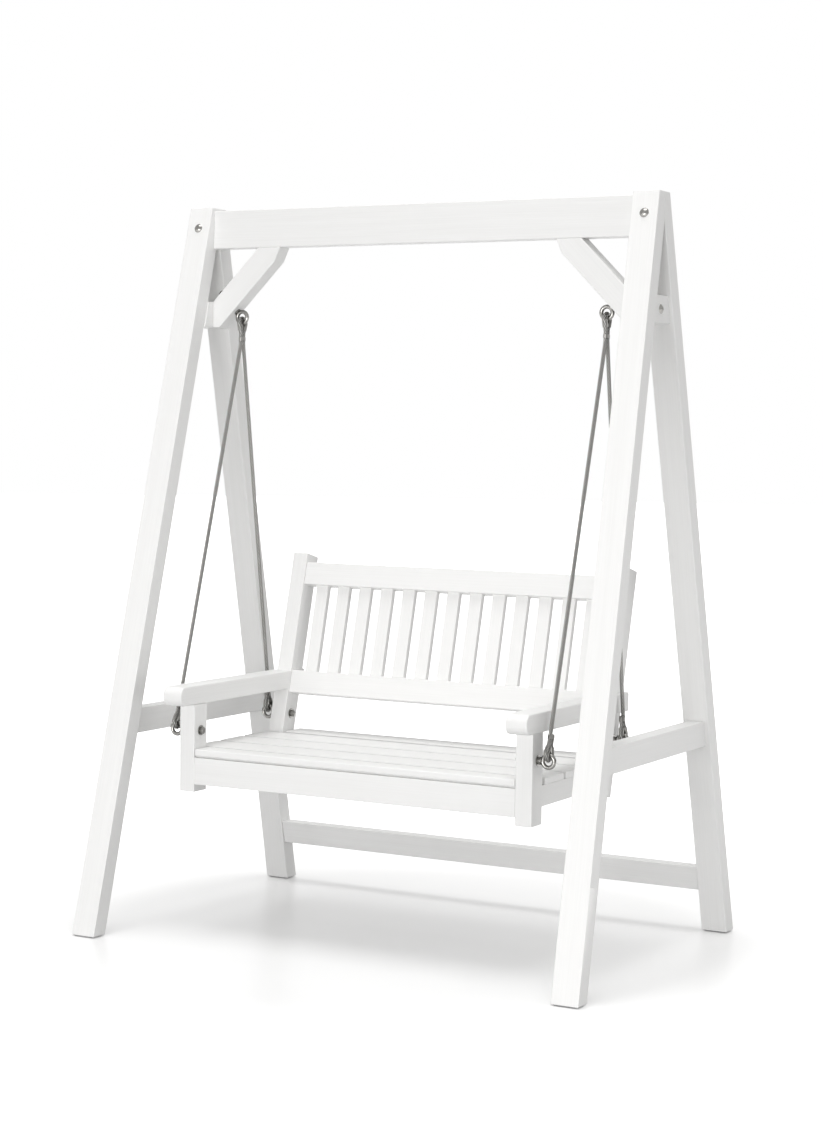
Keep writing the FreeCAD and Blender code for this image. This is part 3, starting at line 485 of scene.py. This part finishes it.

# %% [markdown]
# ## Stainless steel
#
# Bolts, eyes, thimbles and sleeves are satin stainless steel. Fine scratches change its gloss more than
# its colour. The rope is the same metal with a darker colour, and the grooves between its strands carry
# a painted shade, near black.

# %% Mix the steel
steel, shader = new_finish("satin_steel", Metallic=1.0)
scratches = coordinates(steel, "object").streaks(90, 1400, 3)
stains = coordinates(steel, "object").streaks(60, 60, 3)
feed(
    shader,
    Base_Color=stains.blend((0.16, 0.156, 0.148), (0.34, 0.335, 0.32)),
    Roughness=0.14 + scratches * 0.2,
    Normal=scratches.bump(0.0002, 0.2),
)
for fitting in fittings:
    fitting.data.materials.append(steel)
rope_steel, shader = new_finish("rope_wire", Metallic=1.0)
# Painted shade: the rope's colour drops to near black where its surface lies deep between the strands.
stored = coordinates(rope_steel, "height", "Fac")
crown = stored.node("ShaderNodeMapRange", {}, {"Value": stored, "From Min": 0.8, "From Max": 0.99})
wires = coordinates(rope_steel, "object").streaks(500, 900, 2)
feed(
    shader,
    Base_Color=(crown * (0.75 + wires * 0.4)).blend((0.012, 0.011, 0.01), (0.4, 0.395, 0.38)),
    Roughness=0.5 - crown * 0.2,
    Normal=wires.bump(0.0004, 0.3),
)
for rope in ropes:
    rope.data.materials.append(rope_steel)
print("steel on", len(fittings), "fittings and", len(ropes), "ropes")

# %% [markdown]
# ## A white studio
#
# The floor runs out of sight, and both it and the air behind are white to the camera and in reflections.
# For every other ray they are a soft grey, so the boards keep their shades and their undersides stay
# dark. Near the bench the floor is lit as paper is, and takes the shadow. Further out it glows for the
# camera, and so meets the white behind it without an edge.


# %% Build the studio
def seen_directly(tree):
    """One for camera, glossy and transmitted rays, and nothing for the light on the object."""
    path = tree.nodes.new("ShaderNodeLightPath").outputs
    return Tone(path["Is Camera Ray"]) + Tone(path["Is Glossy Ray"]) + Tone(path["Is Transmission Ray"])


AIR = (0.47, 0.467, 0.462)
PAPER_SEEN = (0.88, 0.88, 0.88)
PAPER_BOUNCE = (0.45, 0.45, 0.45)
NEAR_GLOW = (0.11, 0.11, 0.11)
NEAR_END, FAR_START = 0.8, 2.2
WHITE = (1, 1, 1)
air = bpy.data.worlds.new("studio_air")
air.use_nodes = True
light = seen_directly(air.node_tree).blend(AIR, WHITE)
air.node_tree.links.new(light.socket, air.node_tree.nodes["Background"].inputs["Color"])
scene.world = air

ground = bmesh.new()
bmesh.ops.create_circle(ground, cap_ends=True, segments=64, radius=40)
mesh = bpy.data.meshes.new("studio_floor")
ground.to_mesh(mesh)
ground.free()
floor = bpy.data.objects.new("studio_floor", mesh)
scene.collection.objects.link(floor)
paper, shader = new_finish("floor_paper", Roughness=0.3)
spot = coordinates(paper, "object")
reach = spot.node("ShaderNodeVectorMath", {"operation": "LENGTH"}, {0: spot}, output="Value")
far = reach.node("ShaderNodeMapRange", {}, {"Value": reach, "From Min": NEAR_END, "From Max": FAR_START})
direct = seen_directly(paper.node_tree)
feed(
    shader,
    Base_Color=direct.blend(PAPER_BOUNCE, PAPER_SEEN),
    Emission_Color=far.blend(NEAR_GLOW, WHITE),
    Emission_Strength=direct,
)
mesh.materials.append(paper)
print("studio air", AIR)

# %% [markdown]
# ## Lamps
#
# A wide lamp overhead lights the seat and the arms and puts a soft shadow under the bench. Two weaker
# ones fill the fronts and the right-hand sides. They are low, so little of their light gets between the
# slats, and the gaps stay dark. The steel doesn't mirror the one at the right, or the bolts on that side
# would be as white as the paint.


# %% Hang the lamps
def softbox(name, place, aim, width, height, power):
    """A soft lamp at a place, turned to a point and hidden from the camera."""
    lamp = bpy.data.lights.new(name, "AREA")
    lamp.shape = "RECTANGLE"
    lamp.size = width
    lamp.size_y = height
    lamp.energy = power
    box = bpy.data.objects.new(name, lamp)
    box.location = place
    box.rotation_euler = (Vector(aim) - Vector(place)).to_track_quat("-Z", "Y").to_euler()
    box.visible_camera = False
    scene.collection.objects.link(box)
    print(name, power, "W")
    return box


softbox("overhead_softbox", (0.3, -0.9, 8), (0, 0, 0), 4.5, 4.5, 320)
softbox("front_fill", (0.4, -6.4, 0.9), (0, 0, 0.9), 4.5, 1.2, 172)
right_fill = softbox("right_fill", (3.6, -0.8, 0.5), (0, 0, 0.5), 2.0, 1.0, 18)
right_fill.visible_glossy = False
